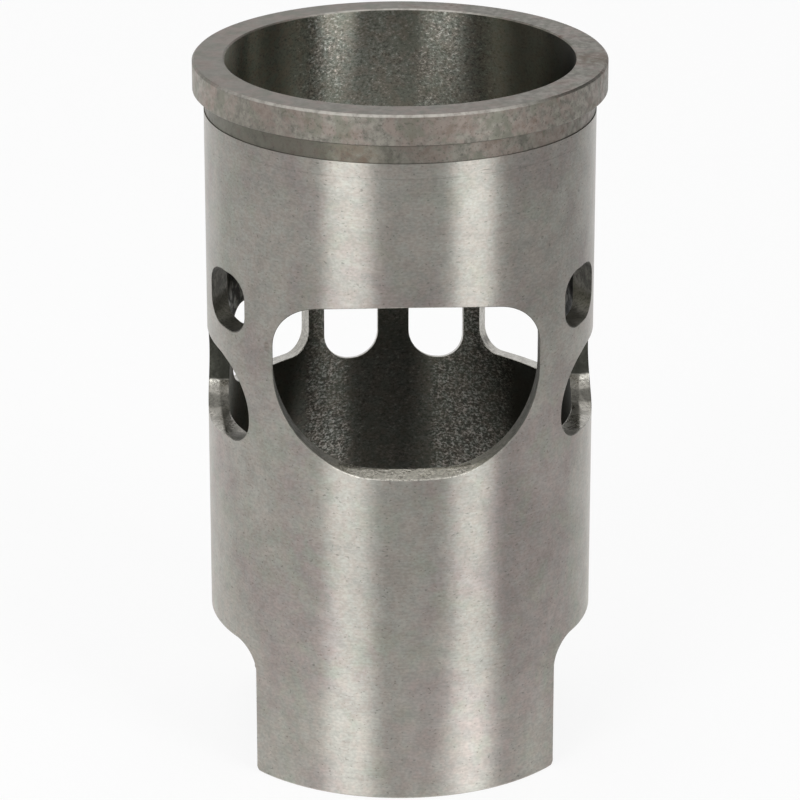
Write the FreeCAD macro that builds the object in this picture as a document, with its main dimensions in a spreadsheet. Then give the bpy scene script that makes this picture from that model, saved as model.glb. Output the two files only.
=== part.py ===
import FreeCAD, Part
import math
import os
import Sketcher

# Cylinder liner of a single-cylinder two-stroke engine, in millimetres.
# The liner stands upright on its skirt. Its axis is Z, the origin is the centre of the
# skirt's end plane, and the large exhaust port faces -Y. Heights of ports are depths below
# the top face, because the engine is assembled and timed from that face.

SIZES = [
    ("liner_length", 138.2, "top face to the ends of the skirt tongues"),
    ("bore_diameter", 67.0, "running bore"),
    ("ring_land_depth", 37.0, "unported stretch of the bore below the top face"),
    ("wall_thickness", 4.0, "from the bore to the ground outside of the body"),
    ("flange_overhang", 2.1, "how far the flange stands out from the body"),
    ("flange_thickness", 5.9, "height of the flange"),
    ("neck_relief", 0.2, "depth of the relief under the flange"),
    ("neck_height", 4.0, "height of the relief under the flange"),
    ("flange_chamfer", 0.4, "outer edge of the top face"),
    ("flange_under_chamfer", 0.15, "lower outer edge of the flange"),
    ("bore_top_chamfer", 0.25, "edge of the bore at the top face"),
    ("bore_bottom_chamfer", 0.6, "edge of the bore at the skirt's end"),
    ("skirt_end_chamfer", 0.35, "outer edge at the skirt's end"),
    ("exhaust_direction", 0.0, "degrees from -Y that the exhaust port is cut at"),
    ("exhaust_width", 50.3, "widest part of the exhaust port"),
    ("exhaust_roof_depth", 37.75, "crown of the roof below the top face"),
    ("exhaust_floor_depth", 71.2, "floor at the bore, below the top face"),
    ("exhaust_roof_radius", 100.0, "arch of the roof"),
    ("exhaust_shoulder_radius", 9.5, "upper corners"),
    ("exhaust_heel_radius", 18.0, "lower corners"),
    ("exhaust_floor_fall", 11.3, "degrees that the floor falls outwards from the bore"),
    ("auxiliary_direction", 22.0, "degrees from -Y that the auxiliary exhaust ports are cut at"),
    ("auxiliary_front_reach", 19.9, "front jamb from the plane through the axis"),
    ("auxiliary_rear_reach", 30.5, "rear jamb from the plane through the axis"),
    ("auxiliary_roof_depth", 37.3, "roof below the top face"),
    ("auxiliary_floor_depth", 48.7, "floor below the top face"),
    ("auxiliary_corner_radius", 4.2, "all four corners"),
    ("side_direction", 86.0, "degrees from -Y that the side transfer ports are cut at"),
    ("side_front_reach", 20.6, "front jamb before the plane through the axis"),
    ("side_rear_reach", 6.9, "rear jamb behind the plane through the axis"),
    ("side_roof_depth", 54.4, "roof below the top face"),
    ("side_floor_depth", 70.6, "floor below the top face"),
    ("side_front_roof_radius", 10.5, "sweep from the roof to the front jamb"),
    ("side_front_floor_radius", 5.0, "front lower corner"),
    ("side_rear_roof_radius", 5.5, "rear upper corner"),
    ("side_rear_floor_radius", 10.0, "sweep from the rear jamb to the floor"),
    ("side_lead_depth", 2.4, "depth of the flared mouth on the outside"),
    ("side_lead_angle", 15.0, "degrees that the mouth flares"),
    ("rear_facing", 126.2, "degrees from -Y that the middle of each rear transfer lies at"),
    ("rear_direction", 160.0, "degrees from -Y that it is cut at"),
    ("rear_width", 26.0, "across the port at the bore"),
    ("rear_roof_depth", 53.6, "roof at the bore, below the top face"),
    ("rear_floor_depth", 70.1, "floor at the bore, below the top face"),
    ("rear_fall", 8.0, "degrees that floor and roof fall outwards"),
    ("rear_corner_radius", 4.9, "all four corners"),
    ("boost_facing", 164.9, "degrees from -Y that the middle of each boost port lies at"),
    ("boost_direction", 180.0, "degrees from -Y that it is cut at"),
    ("boost_width", 11.3, "across the port at the bore"),
    ("boost_roof_depth", 55.0, "roof at the bore, below the top face"),
    ("boost_floor_depth", 72.6, "floor at the bore, below the top face"),
    ("boost_fall", 17.0, "degrees that floor and roof fall outwards"),
    ("boost_roof_radius", 5.2, "upper corners"),
    ("boost_floor_radius", 5.4, "lower corners"),
    ("skirt_cut_width", 47.4, "side cut-aways, across from tongue to tongue"),
    ("skirt_cut_depth", 111.8, "top of the cut-aways below the top face"),
    ("skirt_cut_radius", 5.3, "upper corners of the cut-aways"),
    ("tongue_corner_radius", 1.5, "end corners of the skirt tongues"),
    ("cutter_overrun", 6.0, "how far each cut runs on past the wall"),
    ("corner_land", 0.1, "shortest straight stretch kept between two corners"),
]

WORKED_OUT = [
    ("body_diameter", "=bore_diameter + 2 * wall_thickness", "ground outside of the body"),
    ("neck_diameter", "=body_diameter - 2 * neck_relief", "relief under the flange"),
    ("flange_diameter", "=body_diameter + 2 * flange_overhang", "flange clamped by the head"),
]

document = FreeCAD.newDocument("CylinderLiner")
sheet = document.addObject("Spreadsheet::Sheet", "Sizes")
for row, (alias, number, meaning) in enumerate(SIZES + WORKED_OUT, start=1):
    sheet.set("A%d" % row, alias)
    sheet.set("B%d" % row, str(number))
    sheet.set("C%d" % row, meaning)
    sheet.setAlias("B%d" % row, alias)
document.recompute()

body = document.addObject("PartDesign::Body", "Liner")
body.Label = "cylinder_liner"


def size(alias):
    """The number in the sheet's cell of that name."""
    return float(sheet.get(alias))


def cell(alias):
    """The same cell as an expression."""
    return "Sizes." + alias


def origin_plane(role):
    """The body's own origin plane with that role."""
    for feature in body.Origin.OriginFeatures:
        if feature.Role == role:
            return feature
    raise RuntimeError("no origin plane " + role)


def add_feature(kind, name):
    """A feature that keeps the bore's two stretches as separate faces."""
    feature = body.newObject("PartDesign::" + kind, name)
    feature.Refine = False
    return feature


def new_sketch(name, role, direction=None, distance=None):
    """A sketch on an origin plane, turned about the liner's axis and moved out from it.

    direction names the angle from -Y. distance is a pair of the number and its expression.
    """
    sketch = body.newObject("Sketcher::SketchObject", name)
    sketch.AttachmentSupport = [(origin_plane(role), "")]
    sketch.MapMode = "FlatFace"
    if direction is not None:
        turn = FreeCAD.Rotation(FreeCAD.Vector(0, 1, 0), size(direction))
        sketch.AttachmentOffset = FreeCAD.Placement(FreeCAD.Vector(0, 0, 0), turn)
        sketch.setExpression("AttachmentOffset.Rotation.Angle", cell(direction) + " * 1 deg")
        if distance is not None:
            angle = math.radians(size(direction))
            base = FreeCAD.Vector(math.sin(angle), 0, math.cos(angle)) * distance[0]
            sketch.AttachmentOffset = FreeCAD.Placement(base, turn)
            for axis, wave in (("x", "sin"), ("z", "cos")):
                text = "(%s) * %s(%s * 1 deg)" % (distance[1], wave, cell(direction))
                sketch.setExpression("AttachmentOffset.Base." + axis, text)
    return sketch


def point(across, up):
    return FreeCAD.Vector(across, up, 0)


def add_line(sketch, start, end):
    return sketch.addGeometry(Part.LineSegment(point(*start), point(*end)), False)


def add_arc(sketch, centre, radius, start_angle, end_angle):
    circle = Part.Circle(point(*centre), FreeCAD.Vector(0, 0, 1), radius)
    arc = Part.ArcOfCircle(circle, math.radians(start_angle), math.radians(end_angle))
    return sketch.addGeometry(arc, False)


def bind(sketch, name, expression, *definition):
    """Add a dimension to the sketch, name it and bind it to the sheet."""
    index = sketch.addConstraint(Sketcher.Constraint(*definition))
    sketch.renameConstraint(index, name)
    sketch.setExpression("Constraints." + name, expression)


def place_across(sketch, name, geometry, end, across, expression):
    """Hold a point at a distance to the left (negative) or right of the origin."""
    if across < 0:
        bind(sketch, name, expression, "DistanceX", geometry, end, -1, 1, -across)
    else:
        bind(sketch, name, expression, "DistanceX", -1, 1, geometry, end, across)


def close_smoothly(sketch, outline):
    """Join each edge of the outline to the next one, tangent where they meet."""
    for first, second in zip(outline, outline[1:] + outline[:1]):
        sketch.addConstraint(Sketcher.Constraint("Tangent", first, 2, second, 1))


def fitted_radius(alias, *sides):
    """A corner radius with its expression, kept to its share of each side it shares.

    sides holds the length of a side, its expression and the radius at its other end.
    """
    number = size(alias)
    text = cell(alias)
    for room, room_text, other in sides:
        share = size(alias) / (size(alias) + size(other))
        number = min(number, (room - size("corner_land")) * share)
        text += "; (%s - %s) * %s / (%s + %s)" % (
            room_text, cell("corner_land"), cell(alias), cell(alias), cell(other))
    return number, "min(%s)" % text


def rounded_port(sketch, left, right, roof_alias, floor_alias, radii):
    """Outline with level roof and floor, upright jambs and four rounded corners.

    left and right are pairs of the place across and the expression of its distance.
    radii name the corners at floor right, roof right, roof left and floor left.
    """
    roof = size("liner_length") - size(roof_alias)
    floor = size("liner_length") - size(floor_alias)
    low, high = left[0], right[0]
    upright = (roof - floor, "%s - %s" % (cell(floor_alias), cell(roof_alias)))
    level = (high - low, "%s %s %s" % (right[1], "+" if low < 0 else "-", left[1]))
    floor_right, roof_right, roof_left, floor_left = radii
    corners = [
        fitted_radius(floor_right, upright + (roof_right,), level + (floor_left,)),
        fitted_radius(roof_right, upright + (floor_right,), level + (roof_left,)),
        fitted_radius(roof_left, upright + (floor_left,), level + (roof_right,)),
        fitted_radius(floor_left, upright + (roof_left,), level + (floor_right,)),
    ]
    (r1, _), (r2, _), (r3, _), (r4, _) = corners
    outline = [
        add_line(sketch, (low + r4, floor), (high - r1, floor)),
        add_arc(sketch, (high - r1, floor + r1), r1, 270, 360),
        add_line(sketch, (high, floor + r1), (high, roof - r2)),
        add_arc(sketch, (high - r2, roof - r2), r2, 0, 90),
        add_line(sketch, (high - r2, roof), (low + r3, roof)),
        add_arc(sketch, (low + r3, roof - r3), r3, 90, 180),
        add_line(sketch, (low, roof - r3), (low, floor + r4)),
        add_arc(sketch, (low + r4, floor + r4), r4, 180, 270),
    ]
    close_smoothly(sketch, outline)
    sketch.addConstraint(Sketcher.Constraint("Horizontal", outline[0]))
    sketch.addConstraint(Sketcher.Constraint("Vertical", outline[2]))
    sketch.addConstraint(Sketcher.Constraint("Horizontal", outline[4]))
    sketch.addConstraint(Sketcher.Constraint("Vertical", outline[6]))
    for number, ((radius, expression), arc) in enumerate(zip(corners, outline[1::2]), start=1):
        bind(sketch, "corner_%d" % number, expression, "Radius", arc, radius)
    place_across(sketch, "left_jamb", outline[6], 1, low, left[1])
    place_across(sketch, "right_jamb", outline[2], 1, high, right[1])
    for label, edge, height, alias in (
        ("floor", outline[0], floor, floor_alias),
        ("roof", outline[4], roof, roof_alias),
    ):
        text = "%s - %s" % (cell("liner_length"), cell(alias))
        bind(sketch, label, text, "DistanceY", -1, 1, edge, 1, height)
    return sketch


def exhaust_outline(name, distance=None):
    """The exhaust port: an arched roof, upright sides and wide lower corners."""
    sketch = new_sketch(name, "XZ_Plane", "exhaust_direction", distance)
    half = size("exhaust_width") / 2
    crown = size("liner_length") - size("exhaust_roof_depth")
    floor = size("liner_length") - size("exhaust_floor_depth")
    arch = size("exhaust_roof_radius")
    shoulder = size("exhaust_shoulder_radius")
    # The shoulder circle touches the side line and the inside of the roof's circle.
    shoulder_across = half - shoulder
    lean = math.degrees(math.asin(shoulder_across / (arch - shoulder)))
    shoulder_up = crown - arch + (arch - shoulder) * math.cos(math.radians(lean))
    room = shoulder_up - floor - size("corner_land")
    heel = min(size("exhaust_heel_radius"), room)
    room_text = "%s - %s - %s + sqrt((%s - %s)^2 - (%s / 2 - %s)^2) - %s" % (
        cell("exhaust_floor_depth"), cell("exhaust_roof_depth"), cell("exhaust_roof_radius"),
        cell("exhaust_roof_radius"), cell("exhaust_shoulder_radius"),
        cell("exhaust_width"), cell("exhaust_shoulder_radius"), cell("corner_land"))
    heel_text = "min(%s; %s)" % (cell("exhaust_heel_radius"), room_text)
    outline = [
        add_line(sketch, (heel - half, floor), (half - heel, floor)),
        add_arc(sketch, (half - heel, floor + heel), heel, 270, 360),
        add_line(sketch, (half, floor + heel), (half, shoulder_up)),
        add_arc(sketch, (shoulder_across, shoulder_up), shoulder, 0, 90 - lean),
        add_arc(sketch, (0, crown - arch), arch, 90 - lean, 90 + lean),
        add_arc(sketch, (-shoulder_across, shoulder_up), shoulder, 90 + lean, 180),
        add_line(sketch, (-half, shoulder_up), (-half, floor + heel)),
        add_arc(sketch, (heel - half, floor + heel), heel, 180, 270),
    ]
    close_smoothly(sketch, outline)
    sketch.addConstraint(Sketcher.Constraint("Horizontal", outline[0]))
    sketch.addConstraint(Sketcher.Constraint("Vertical", outline[2]))
    sketch.addConstraint(Sketcher.Constraint("Vertical", outline[6]))
    sketch.addConstraint(Sketcher.Constraint("PointOnObject", outline[4], 3, -2))
    for name, alias, edge in (
        ("shoulder_right", "exhaust_shoulder_radius", outline[3]),
        ("arch", "exhaust_roof_radius", outline[4]),
        ("shoulder_left", "exhaust_shoulder_radius", outline[5]),
    ):
        bind(sketch, name, cell(alias), "Radius", edge, size(alias))
    bind(sketch, "heel_right", heel_text, "Radius", outline[1], heel)
    bind(sketch, "heel_left", heel_text, "Radius", outline[7], heel)
    half_text = cell("exhaust_width") + " / 2"
    place_across(sketch, "right_side", outline[2], 1, half, half_text)
    place_across(sketch, "left_side", outline[6], 1, -half, half_text)
    floor_text = "%s - %s" % (cell("liner_length"), cell("exhaust_floor_depth"))
    bind(sketch, "floor", floor_text, "DistanceY", -1, 1, outline[0], 1, floor)
    arch_text = "%s - %s - %s" % (
        cell("liner_length"), cell("exhaust_roof_depth"), cell("exhaust_roof_radius"))
    bind(sketch, "arch_centre", arch_text, "DistanceY", -1, 1, outline[4], 3, crown - arch)
    return sketch


def cut_outwards(name, sketch):
    """Pocket out through one wall, square to its sketch."""
    before = body.Tip.Shape.Volume
    pocket = add_feature("Pocket", name)
    pocket.Profile = sketch
    pocket.Type = "Length"
    pocket.Reversed = True
    pocket.setExpression("Length", cell("flange_diameter") + " / 2 + " + cell("cutter_overrun"))
    document.recompute()
    if pocket.Shape.Volume >= before:
        raise RuntimeError(name + " removed nothing")
    return pocket


def cut_falling(name, sketch, direction, fall, inwards_too=True):
    """Pocket from the bore wall along a named direction that falls outwards."""
    before = body.Tip.Shape.Volume
    heading, drop = math.radians(size(direction)), math.radians(size(fall))
    pocket = add_feature("Pocket", name)
    pocket.Profile = sketch
    pocket.Type = "Length"
    pocket.Midplane = inwards_too
    pocket.AlongSketchNormal = False
    pocket.UseCustomVector = True
    pocket.Direction = FreeCAD.Vector(
        math.sin(heading) * math.cos(drop), -math.cos(heading) * math.cos(drop), -math.sin(drop))
    turn, tilt = cell(direction) + " * 1 deg", cell(fall) + " * 1 deg"
    pocket.setExpression("Direction.x", "sin(%s) * cos(%s)" % (turn, tilt))
    pocket.setExpression("Direction.y", "-cos(%s) * cos(%s)" % (turn, tilt))
    pocket.setExpression("Direction.z", "-sin(%s)" % tilt)
    pocket.setExpression("Length", cell("bore_diameter"))
    document.recompute()
    if pocket.Shape.Volume >= before:
        raise RuntimeError(name + " removed nothing")
    return pocket


def mirror_to_other_side(name, feature):
    """The same cut on the other side of the plane x = 0."""
    mirrored = add_feature("Mirrored", name)
    mirrored.Originals = [feature]
    mirrored.MirrorPlane = (origin_plane("YZ_Plane"), [""])
    body.Tip = mirrored
    document.recompute()
    return mirrored


def section_outline():
    """Half section of the turned blank: body, neck and flange round the bore."""
    sketch = new_sketch("BlankSection", "XZ_Plane")
    bore = size("bore_diameter") / 2
    outside = size("body_diameter") / 2
    neck = size("neck_diameter") / 2
    flange = size("flange_diameter") / 2
    top = size("liner_length")
    under = top - size("flange_thickness")
    shoulder = under - size("neck_height")
    land = top - size("ring_land_depth")
    corners = [
        (bore, 0), (outside, 0), (outside, shoulder), (neck, shoulder),
        (neck, under), (flange, under), (flange, top), (bore, top), (bore, land),
    ]
    edges = []
    for start, end in zip(corners, corners[1:] + corners[:1]):
        edge = add_line(sketch, start, end)
        run = "Horizontal" if start[1] == end[1] else "Vertical"
        sketch.addConstraint(Sketcher.Constraint(run, edge))
        edges.append(edge)
    for first, second in zip(edges, edges[1:] + edges[:1]):
        sketch.addConstraint(Sketcher.Constraint("Coincident", first, 2, second, 1))
    bind(sketch, "end_plane", "0", "DistanceY", -1, 1, edges[0], 1, 0)
    for name, alias, edge in (
        ("bore", "bore_diameter", edges[7]),
        ("outside", "body_diameter", edges[1]),
        ("neck", "neck_diameter", edges[3]),
        ("flange", "flange_diameter", edges[5]),
    ):
        text = cell(alias) + " / 2"
        bind(sketch, name, text, "DistanceX", -1, 1, edge, 1, size(alias) / 2)
    bind(sketch, "length", cell("liner_length"), "DistanceY", -1, 1, edges[6], 1, top)
    bind(sketch, "flange_height", cell("flange_thickness"),
         "DistanceY", edges[5], 1, edges[5], 2, top - under)
    bind(sketch, "neck_height", cell("neck_height"),
         "DistanceY", edges[3], 1, edges[3], 2, under - shoulder)
    bind(sketch, "ring_land", cell("ring_land_depth"),
         "DistanceY", edges[7], 2, edges[7], 1, top - land)
    return sketch


def round_edges_at(shape, radius, height):
    """Names of the full circles of that radius and height."""
    names = []
    for number, edge in enumerate(shape.Edges, start=1):
        curve = edge.Curve
        if isinstance(curve, Part.Circle):
            same_radius = abs(curve.Radius - radius) < 1e-4
            if same_radius and abs(curve.Center.z - height) < 1e-4:
                names.append("Edge%d" % number)
    return names


def chamfer_round_edge(name, radius, height, alias):
    """Break one round edge of the turned blank."""
    base = body.Tip
    names = round_edges_at(base.Shape, radius, height)
    if not names:
        raise RuntimeError("no edge for " + name)
    chamfer = add_feature("Chamfer", name)
    chamfer.Base = (base, names)
    chamfer.Size = size(alias)
    chamfer.setExpression("Size", cell(alias))
    document.recompute()


def turn_blank():
    """The turned and ground tube with its flange, neck and broken edges."""
    blank = add_feature("Revolution", "Blank")
    blank.Profile = section_outline()
    blank.ReferenceAxis = (blank.Profile[0], ["V_Axis"])
    blank.Angle = 360
    document.recompute()
    top = size("liner_length")
    bore = size("bore_diameter") / 2
    flange = size("flange_diameter") / 2
    under = top - size("flange_thickness")
    chamfer_round_edge("FlangeEdge", flange, top, "flange_chamfer")
    chamfer_round_edge("FlangeUnderEdge", flange, under, "flange_under_chamfer")
    chamfer_round_edge("BoreTopEdge", bore, top, "bore_top_chamfer")
    chamfer_round_edge("BoreBottomEdge", bore, 0, "bore_bottom_chamfer")
    chamfer_round_edge("SkirtEndEdge", size("body_diameter") / 2, 0, "skirt_end_chamfer")


def cut_exhaust_ports():
    """The large port with its falling floor and an auxiliary port on each side."""
    cut_outwards("ExhaustPort", exhaust_outline("ExhaustOutline"))
    bore_wall = (size("bore_diameter") / 2, cell("bore_diameter") + " / 2")
    cut_falling("ExhaustFloor", exhaust_outline("ExhaustFloorOutline", bore_wall),
                "exhaust_direction", "exhaust_floor_fall", inwards_too=False)
    outline = rounded_port(
        new_sketch("AuxiliaryOutline", "XZ_Plane", "auxiliary_direction"),
        (size("auxiliary_front_reach"), cell("auxiliary_front_reach")),
        (size("auxiliary_rear_reach"), cell("auxiliary_rear_reach")),
        "auxiliary_roof_depth", "auxiliary_floor_depth", ("auxiliary_corner_radius",) * 4)
    port = cut_outwards("AuxiliaryPort", outline)
    mirror_to_other_side("AuxiliaryPorts", port)


def side_outline(name, distance=None):
    """Side transfer port: a wide sweep at the front of its roof and the rear of its floor."""
    return rounded_port(
        new_sketch(name, "XZ_Plane", "side_direction", distance),
        (-size("side_front_reach"), cell("side_front_reach")),
        (size("side_rear_reach"), cell("side_rear_reach")),
        "side_roof_depth", "side_floor_depth",
        ("side_rear_floor_radius", "side_rear_roof_radius",
         "side_front_roof_radius", "side_front_floor_radius"))


def cut_side_transfers():
    """The side transfer ports, whose mouths flare where the wall is outermost."""
    port = cut_outwards("SideTransfer", side_outline("SideTransferOutline"))
    mirror_to_other_side("SideTransfers", port)
    start = (
        size("body_diameter") / 2 - size("side_lead_depth"),
        "%s / 2 - %s" % (cell("body_diameter"), cell("side_lead_depth")))
    before = body.Tip.Shape.Volume
    lead = add_feature("Pocket", "SideLead")
    lead.Profile = side_outline("SideLeadOutline", start)
    lead.Type = "Length"
    lead.Reversed = True
    lead.setExpression("Length", cell("cutter_overrun"))
    lead.setExpression("TaperAngle", cell("side_lead_angle") + " * 1 deg")
    document.recompute()
    if lead.Shape.Volume >= before:
        raise RuntimeError("SideLead removed nothing")
    mirror_to_other_side("SideLeads", lead)


def cut_chord_port(name, prefix, floor_radius, roof_radius):
    """A port laid out on its chord across the bore wall, and its twin on the other side."""
    width, across = size(prefix + "_width"), cell(prefix + "_width")
    bore = size("bore_diameter")
    chord = (
        math.sqrt(bore ** 2 - width ** 2) / 2,
        "sqrt(%s^2 - %s^2) / 2" % (cell("bore_diameter"), across))
    sketch = new_sketch(name + "Outline", "XZ_Plane", prefix + "_facing", chord)
    rounded_port(
        sketch, (-width / 2, across + " / 2"), (width / 2, across + " / 2"),
        prefix + "_roof_depth", prefix + "_floor_depth",
        (floor_radius, roof_radius, roof_radius, floor_radius))
    port = cut_falling(name, sketch, prefix + "_direction", prefix + "_fall")
    mirror_to_other_side(name + "s", port)


def cut_transfer_ports():
    """Side transfers, rear transfers and the two boost ports at the back."""
    cut_side_transfers()
    cut_chord_port("RearTransfer", "rear", "rear_corner_radius", "rear_corner_radius")
    cut_chord_port("BoostPort", "boost", "boost_floor_radius", "boost_roof_radius")


def skirt_cut_outline():
    """Side view of the crank clearance: rounded at the top, with rounded tongue ends."""
    sketch = new_sketch("SkirtCutOutline", "YZ_Plane")
    half = size("skirt_cut_width") / 2
    top = size("liner_length") - size("skirt_cut_depth")
    radius = size("skirt_cut_radius")
    tip = size("tongue_corner_radius")
    bottom = -size("cutter_overrun")
    outline = [
        add_arc(sketch, (half + tip, tip), tip, 180, 270),
        add_line(sketch, (half, tip), (half, top - radius)),
        add_arc(sketch, (half - radius, top - radius), radius, 0, 90),
        add_line(sketch, (half - radius, top), (radius - half, top)),
        add_arc(sketch, (radius - half, top - radius), radius, 90, 180),
        add_line(sketch, (-half, top - radius), (-half, tip)),
        add_arc(sketch, (-half - tip, tip), tip, 270, 360),
        add_line(sketch, (-half - tip, 0), (-half - tip, bottom)),
        add_line(sketch, (-half - tip, bottom), (half + tip, bottom)),
        add_line(sketch, (half + tip, bottom), (half + tip, 0)),
    ]
    sketch.addConstraint(Sketcher.Constraint("Tangent", outline[0], 1, outline[1], 1))
    for first, second in zip(outline[1:5], outline[2:6]):
        sketch.addConstraint(Sketcher.Constraint("Tangent", first, 2, second, 1))
    sketch.addConstraint(Sketcher.Constraint("Tangent", outline[5], 2, outline[6], 2))
    sketch.addConstraint(Sketcher.Constraint("Coincident", outline[6], 1, outline[7], 1))
    sketch.addConstraint(Sketcher.Constraint("Coincident", outline[7], 2, outline[8], 1))
    sketch.addConstraint(Sketcher.Constraint("Coincident", outline[8], 2, outline[9], 1))
    sketch.addConstraint(Sketcher.Constraint("Coincident", outline[9], 2, outline[0], 2))
    for number in (3, 8):
        sketch.addConstraint(Sketcher.Constraint("Horizontal", outline[number]))
    for number in (1, 5, 7, 9):
        sketch.addConstraint(Sketcher.Constraint("Vertical", outline[number]))
    for centre_of in (outline[0], outline[6]):
        lowest = 2 if centre_of == outline[0] else 1
        sketch.addConstraint(Sketcher.Constraint("PointOnObject", centre_of, lowest, -1))
        sketch.addConstraint(Sketcher.Constraint("Vertical", centre_of, 3, centre_of, lowest))
    radius_text = cell("skirt_cut_radius")
    tip_text = cell("tongue_corner_radius")
    bind(sketch, "front_corner", radius_text, "Radius", outline[2], radius)
    bind(sketch, "rear_corner", radius_text, "Radius", outline[4], radius)
    bind(sketch, "rear_tip", tip_text, "Radius", outline[0], tip)
    bind(sketch, "front_tip", tip_text, "Radius", outline[6], tip)
    half_text = cell("skirt_cut_width") + " / 2"
    place_across(sketch, "right_side", outline[1], 1, half, half_text)
    place_across(sketch, "left_side", outline[5], 2, -half, half_text)
    top_text = "%s - %s" % (cell("liner_length"), cell("skirt_cut_depth"))
    bind(sketch, "cut_top", top_text, "DistanceY", -1, 1, outline[3], 1, top)
    bind(sketch, "cut_bottom", cell("cutter_overrun"),
         "DistanceY", outline[8], 1, -1, 1, -bottom)
    return sketch


def cut_skirt():
    """Cut both sides of the skirt away in one pass, which leaves a tongue front and rear."""
    before = body.Tip.Shape.Volume
    cut = add_feature("Pocket", "SkirtCut")
    cut.Profile = skirt_cut_outline()
    cut.Type = "Length"
    cut.Midplane = True
    cut.setExpression("Length", cell("flange_diameter") + " + 2 * " + cell("cutter_overrun"))
    document.recompute()
    if cut.Shape.Volume >= before:
        raise RuntimeError("SkirtCut removed nothing")


def check_and_write():
    """Stop on any failed object, then write the liner."""
    document.recompute()
    for item in document.Objects:
        if "Invalid" in item.State or "Error" in item.State:
            raise RuntimeError("%s failed: %s" % (item.Name, item.State))
    shape = body.Shape
    if shape.isNull() or not shape.isValid() or len(shape.Solids) != 1:
        raise RuntimeError("the liner is not one valid solid")
    os.makedirs("parts", exist_ok=True)
    shape.exportStep(os.path.join("parts", body.Label + ".step"))
    box = shape.BoundBox
    print("volume %.1f mm3, box %.3f x %.3f x %.3f" % (
        shape.Volume, box.XLength, box.YLength, box.ZLength))


turn_blank()
cut_exhaust_ports()
cut_transfer_ports()
cut_skirt()
check_and_write()
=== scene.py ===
import math
from functools import cached_property, partial, reduce

import bpy
import numpy as np
from bpy.props import (
    BoolProperty, CollectionProperty, FloatProperty, FloatVectorProperty, PointerProperty)
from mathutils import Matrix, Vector
from mathutils.geometry import delaunay_2d_cdt


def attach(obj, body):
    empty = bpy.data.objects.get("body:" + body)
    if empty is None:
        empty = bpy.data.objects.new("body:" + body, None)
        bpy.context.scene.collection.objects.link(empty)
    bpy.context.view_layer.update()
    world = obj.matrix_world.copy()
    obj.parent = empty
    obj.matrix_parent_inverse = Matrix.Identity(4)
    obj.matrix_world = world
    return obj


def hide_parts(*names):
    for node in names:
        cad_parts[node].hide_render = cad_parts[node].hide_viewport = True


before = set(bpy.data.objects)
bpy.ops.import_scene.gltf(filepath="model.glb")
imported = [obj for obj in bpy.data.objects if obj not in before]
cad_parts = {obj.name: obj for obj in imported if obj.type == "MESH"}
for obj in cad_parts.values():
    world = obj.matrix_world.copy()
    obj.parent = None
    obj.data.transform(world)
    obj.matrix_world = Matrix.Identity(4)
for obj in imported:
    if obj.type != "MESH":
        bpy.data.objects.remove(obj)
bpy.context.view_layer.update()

bl_info = {
    "name": "Cylinder liner",
    "version": (1, 0, 0),
    "blender": (4, 5, 0),
    "location": "3D View > Sidebar > Liner",
    "description": "A ported two-stroke cylinder liner with its finishes and a small studio",
    "category": "Object",
}

NODE = "cylinder_liner"
MM = 0.001
TINY = 1e-15

# Finish of each face, by its place in the mesh's list of materials.
GROUND, TURNED, BORED, MILLED = range(4)

# Fineness of the mesh.
STEP = 0.55 * MM  # between points of an outline
TIP_STEP = STEP / 3  # between points round a tongue's corner
HEAD_STEP = 1.5 * MM  # between rings of the head
COLUMNS = np.radians(np.linspace(-180.0, 180.0, 241))  # turns of the grid's columns
SHARES = np.linspace(-1.0, 1.0, 61)  # points across a tongue's end
ROWS = 52  # of the grid on the body and in the bore
ROUNDING_STEPS = 5  # points of a rounded edge
PORT_STEPS, SKIRT_STEPS = 15, 9  # points along a wall's rulings
CLEAR = 0.2 * MM  # least distance from a point of the grid to an edge
PARTS = 16  # in which those distances are taken
MERGE = 0.4e-6  # metres: corners on the same point of such a grid are one
HEAD_OUTSIDE, HEAD_INSIDE = 12.0 * MM, 2.5 * MM  # how far the head's rings reach down
REACHES = (-8 * MM, 60 * MM)  # between them each port's wall meets the cylinders
HALVINGS = 46  # of that range
INSIDE_ONLY, CLOSE = 1, 1e-5  # triangles wanted, and what counts as one point, in mm

FLAT_PART = slice(7, -7)  # points of a ruling clear of its rounded ends
FLIP = np.array([-1.0, 1.0])  # mirrors the unrolled surface


def length(name, default, text):
    """A size in millimetres, kept by Blender in metres."""
    return FloatProperty(
        name=name, default=default * MM, min=0.0, precision=5, unit="LENGTH", description=text)


def angle(name, text):
    """An angle, kept by Blender in radians."""
    return FloatProperty(name=name, default=0.0, subtype="ANGLE", description=text)


def colour(name, default, text):
    """A linear colour."""
    return FloatVectorProperty(
        name=name, default=default, min=0.0, max=1.0, subtype="COLOR", description=text)


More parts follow.
